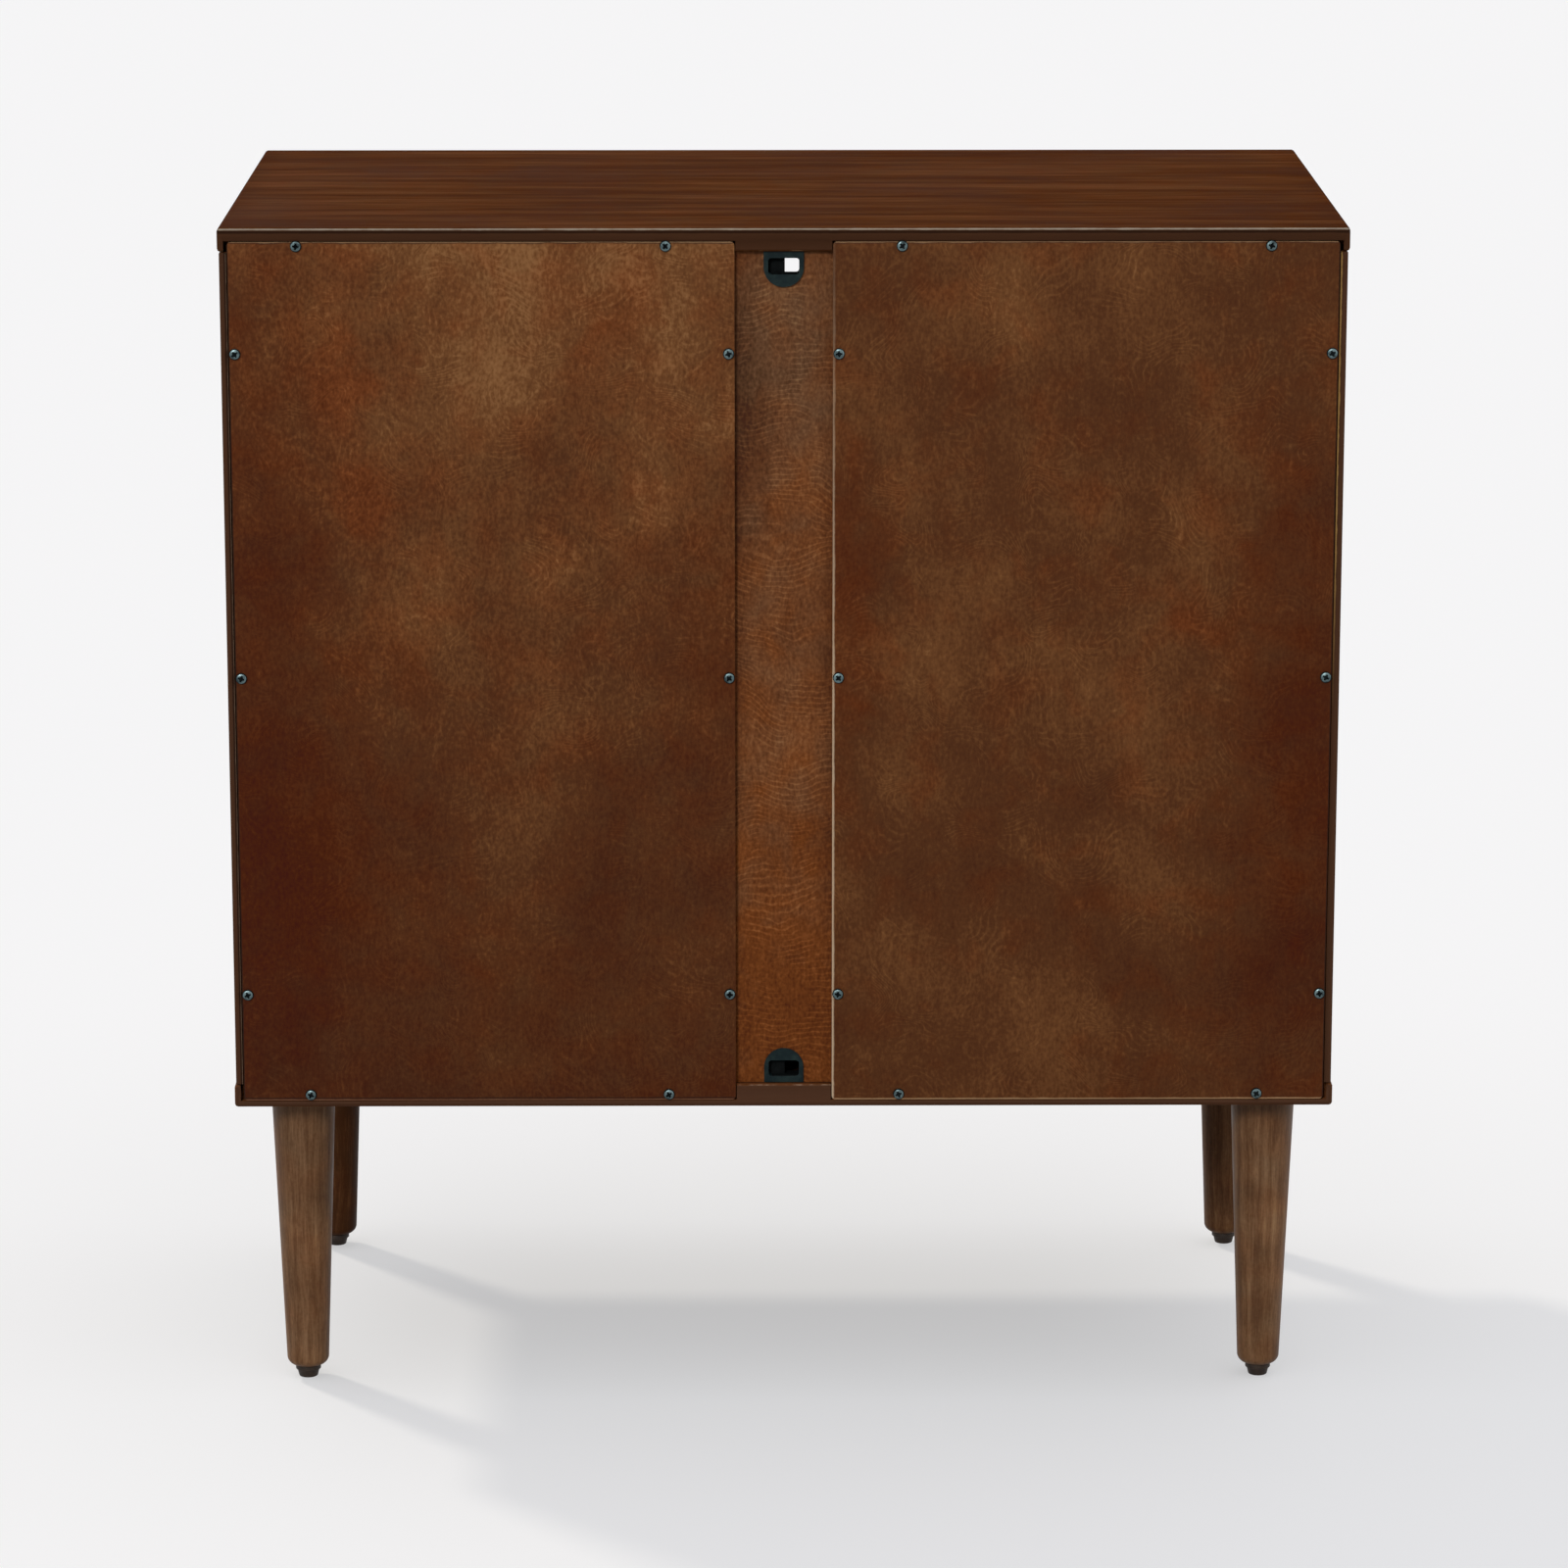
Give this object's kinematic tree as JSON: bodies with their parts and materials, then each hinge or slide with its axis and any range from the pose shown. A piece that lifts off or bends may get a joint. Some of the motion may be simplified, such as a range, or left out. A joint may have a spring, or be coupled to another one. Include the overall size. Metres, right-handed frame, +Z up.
{
  "type": "console cabinet",
  "caption": "Console cabinet on tapered round legs, with an open media bay over hinged doors, shelves inside, and a screwed-on back with cable grommets.",
  "frame": {"origin": "on the floor, under the middle of the object's box", "axes": "+Z up, +Y towards the screwed-on back, +X to the right of someone who faces the doors"},
  "size_m": [0.711, 0.4273, 0.772],
  "materials": {
    "case_wood": "satin",
    "back_wood": "satin",
    "strip_wood": "satin",
    "leg_wood": "satin",
    "black_plastic": "matte",
    "glide_plastic": "matte",
    "screw_steel": "satin",
    "hinge_brass": "satin"
  },
  "bodies": {
    "case": {"top_panel": "case_wood", "bottom_panel": "case_wood", "side_panel_left": "case_wood", "side_panel_right": "case_wood", "bay_shelf": "case_wood", "center_divider": "case_wood", "back_panel_left": "back_wood", "back_panel_right": "back_wood", "back_center_strip": "strip_wood", "cable_grommet_top": "black_plastic", "cable_grommet_bottom": "black_plastic", "back_screw_01": "screw_steel", "back_screw_02": "screw_steel", "back_screw_03": "screw_steel", "back_screw_04": "screw_steel", "back_screw_05": "screw_steel", "back_screw_06": "screw_steel", "back_screw_07": "screw_steel", "back_screw_08": "screw_steel", "back_screw_09": "screw_steel", "back_screw_10": "screw_steel", "back_screw_11": "screw_steel", "back_screw_12": "screw_steel", "back_screw_13": "screw_steel", "back_screw_14": "screw_steel", "back_screw_15": "screw_steel", "back_screw_16": "screw_steel", "back_screw_17": "screw_steel", "back_screw_18": "screw_steel", "back_screw_19": "screw_steel", "back_screw_20": "screw_steel", "shelf_left": "case_wood", "shelf_cleat_left_inner": "case_wood", "shelf_cleat_left_outer": "case_wood", "shelf_right": "case_wood", "shelf_cleat_right_inner": "case_wood", "shelf_cleat_right_outer": "case_wood", "hinge_case_leaf_left_upper": "hinge_brass", "hinge_case_leaf_left_lower": "hinge_brass", "hinge_case_leaf_right_upper": "hinge_brass", "hinge_case_leaf_right_lower": "hinge_brass", "magnetic_catch": "black_plastic", "leg_front_left": "leg_wood", "leg_front_right": "leg_wood", "leg_back_left": "leg_wood", "leg_back_right": "leg_wood"},
    "door_left": {"door_left": "case_wood", "door_knob_left": "hinge_brass", "strike_plate_left": "screw_steel", "hinge_door_leaf_left_upper": "hinge_brass", "hinge_door_leaf_left_lower": "hinge_brass"},
    "door_right": {"door_right": "case_wood", "door_knob_right": "hinge_brass", "strike_plate_right": "screw_steel", "hinge_door_leaf_right_upper": "hinge_brass", "hinge_door_leaf_right_lower": "hinge_brass"},
    "glide_front_left": {"leg_glide_front_left": "glide_plastic"},
    "glide_front_right": {"leg_glide_front_right": "glide_plastic"},
    "glide_back_left": {"leg_glide_back_left": "glide_plastic"},
    "glide_back_right": {"leg_glide_back_right": "glide_plastic"}
  },
  "joints": [
    {"name": "door_left_hinge", "type": "hinge", "parent": "case", "child": "door_left", "pos_m": [-0.33785, -0.19195, 0.4135], "axis": [0, 0, -1], "range_deg": [0, 110]},
    {"name": "door_right_hinge", "type": "hinge", "parent": "case", "child": "door_right", "pos_m": [0.33785, -0.19195, 0.4135], "axis": [0, 0, 1], "range_deg": [0, 110]},
    {"name": "glide_front_left_screw", "type": "slide", "parent": "case", "child": "glide_front_left", "axis": [0, 0, -1], "range_m": [0, 0.008]},
    {"name": "glide_front_right_screw", "type": "slide", "parent": "case", "child": "glide_front_right", "axis": [0, 0, -1], "range_m": [0, 0.008]},
    {"name": "glide_back_left_screw", "type": "slide", "parent": "case", "child": "glide_back_left", "axis": [0, 0, -1], "range_m": [0, 0.008]},
    {"name": "glide_back_right_screw", "type": "slide", "parent": "case", "child": "glide_back_right", "axis": [0, 0, -1], "range_m": [0, 0.008]}
  ]
}
